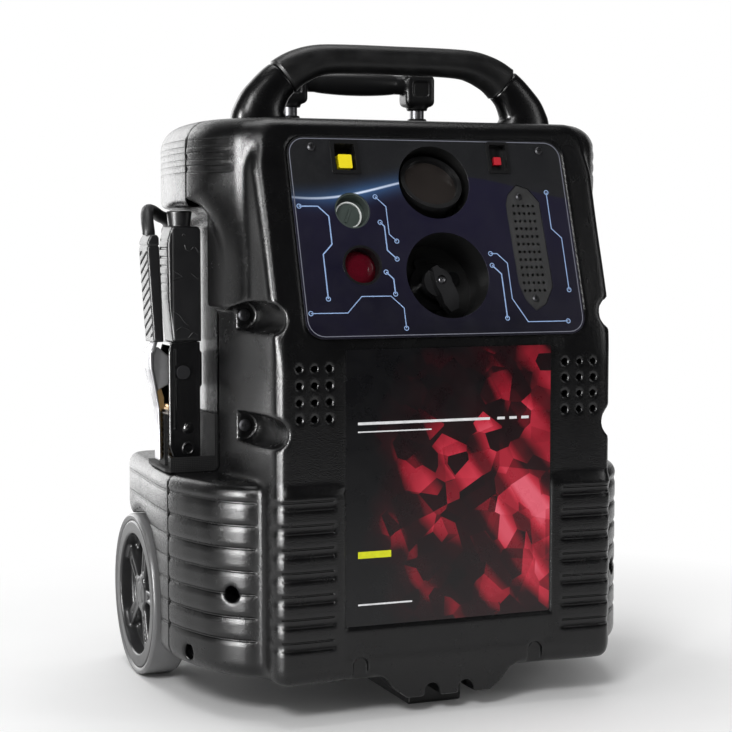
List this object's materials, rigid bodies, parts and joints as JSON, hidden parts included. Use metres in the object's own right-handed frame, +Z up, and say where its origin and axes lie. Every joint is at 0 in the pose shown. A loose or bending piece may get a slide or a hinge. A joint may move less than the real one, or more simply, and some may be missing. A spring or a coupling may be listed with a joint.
{
  "type": "wheeled jump starter pack",
  "caption": "wheeled portable jump starter pack with a leaning control panel, arched carry handle, pull-out trolley handle and battery clamps parked on both sides",
  "frame": {"origin": "under the middle of the pack's bounding box, on the floor", "axes": "+X to the right seen from the front, +Y to the back, +Z up; the control panel faces -Y"},
  "size_m": [0.5052, 0.356, 0.657],
  "materials": {
    "black_shell": "textured semi-gloss",
    "grey_shell": "textured semi-gloss",
    "black_rubber": "matte",
    "black_fitting": "satin",
    "dark_tube": "satin",
    "grey_wheel": "satin",
    "tyre": "matte",
    "bright_steel": "brushed",
    "dark_screw": "satin black",
    "panel_print": "printed satin film",
    "label_print": "printed gloss film",
    "dark_grille": "matte",
    "yellow_plastic": "gloss",
    "red_plastic": "gloss",
    "smoked_glass": "gloss",
    "white_plastic": "gloss",
    "red_lens": "faceted gloss",
    "black_clamp": "wrinkled satin",
    "grey_clamp": "satin",
    "red_clamp": "satin",
    "copper": "bare copper",
    "black_cable": "satin",
    "red_cable": "satin",
    "battery_case": "matte",
    "steel_tray": "satin",
    "board_green": "solder mask"
  },
  "bodies": {
    "pack": {"front_shell": "black_shell", "rear_shell": "grey_shell", "keel_pad": "black_rubber", "carry_handle": "black_shell", "carry_grip": "black_rubber", "trolley_sleeves": "dark_tube", "trolley_collars": "black_fitting", "axle": "bright_steel", "panel_screws": "dark_screw", "shell_screws": "dark_screw", "control_panel": "panel_print", "front_label": "label_print", "grille_plate": "dark_grille", "test_bezel": "black_fitting", "breaker_body": "black_fitting", "voltmeter": "black_fitting", "voltmeter_glass": "smoked_glass", "charge_socket": "black_fitting", "socket_ring": "white_plastic", "alarm_body": "black_fitting", "alarm_lens": "red_lens", "selector_base": "black_fitting", "clamp_left_outer_grip": "grey_clamp", "clamp_left_outer_jaw": "grey_clamp", "clamp_left_outer_teeth": "copper", "clamp_right_outer_grip": "red_clamp", "clamp_right_outer_jaw": "grey_clamp", "clamp_right_outer_teeth": "copper", "clamp_pins": "bright_steel", "clamp_springs": "bright_steel", "clamp_rests": "black_rubber", "cable_black": "black_cable", "cable_red": "red_cable", "cable_glands": "black_fitting", "cable_clips": "black_fitting", "batteries": "battery_case", "battery_tray": "steel_tray", "link_bars": "copper", "control_board": "board_green"},
    "trolley": {"trolley_grip": "black_fitting", "trolley_tubes": "dark_tube"},
    "trolley_latch": {"trolley_button": "black_fitting"},
    "left_wheel": {"wheel_left": "grey_wheel", "tyre_left": "tyre", "hub_caps_left": "grey_wheel"},
    "right_wheel": {"wheel_right": "grey_wheel", "tyre_right": "tyre", "hub_caps_right": "grey_wheel"},
    "left_clamp_arm": {"clamp_left_inner_grip": "black_clamp", "clamp_left_inner_jaw": "black_clamp", "clamp_left_inner_teeth": "copper"},
    "right_clamp_arm": {"clamp_right_inner_grip": "red_clamp", "clamp_right_inner_jaw": "black_clamp", "clamp_right_inner_teeth": "copper"},
    "selector": {"selector_knob": "black_fitting", "selector_screw": "bright_steel"},
    "test_switch": {"test_button": "yellow_plastic"},
    "breaker": {"breaker_button": "red_plastic"}
  },
  "joints": [
    {"name": "trolley_slide", "type": "slide", "parent": "pack", "child": "trolley", "axis": [0, 0, 1], "range_m": [0, 0.33]},
    {"name": "trolley_latch_press", "type": "slide", "parent": "trolley", "child": "trolley_latch", "axis": [0, 0, -1], "range_m": [0, 0.0035], "stiffness_N_per_m": 400},
    {"name": "left_wheel_spin", "type": "hinge", "parent": "pack", "child": "left_wheel", "pos_m": [-0.23, 0.093, 0.085], "axis": [1, 0, 0], "continuous": true},
    {"name": "right_wheel_spin", "type": "hinge", "parent": "pack", "child": "right_wheel", "pos_m": [0.23, 0.093, 0.085], "axis": [1, 0, 0], "continuous": true},
    {"name": "left_clamp_squeeze", "type": "hinge", "parent": "pack", "child": "left_clamp_arm", "pos_m": [-0.2165, 0.024, 0.326], "axis": [0, -1, 0], "range_deg": [0, 3], "stiffness_Nm_per_rad": 6},
    {"name": "right_clamp_squeeze", "type": "hinge", "parent": "pack", "child": "right_clamp_arm", "pos_m": [0.2165, 0.024, 0.326], "axis": [0, 1, 0], "range_deg": [0, 3], "stiffness_Nm_per_rad": 6},
    {"name": "selector_turn", "type": "hinge", "parent": "pack", "child": "selector", "pos_m": [0.0045, -0.13481, 0.41923], "axis": [0, -0.9501, 0.3118], "range_deg": [-60, 60]},
    {"name": "test_press", "type": "slide", "parent": "pack", "child": "test_switch", "axis": [0, 0.9501, -0.3118], "range_m": [0, 0.003], "stiffness_N_per_m": 600},
    {"name": "breaker_press", "type": "slide", "parent": "pack", "child": "breaker", "axis": [0, 0.9501, -0.3118], "range_m": [0, 0.002], "stiffness_N_per_m": 600}
  ]
}
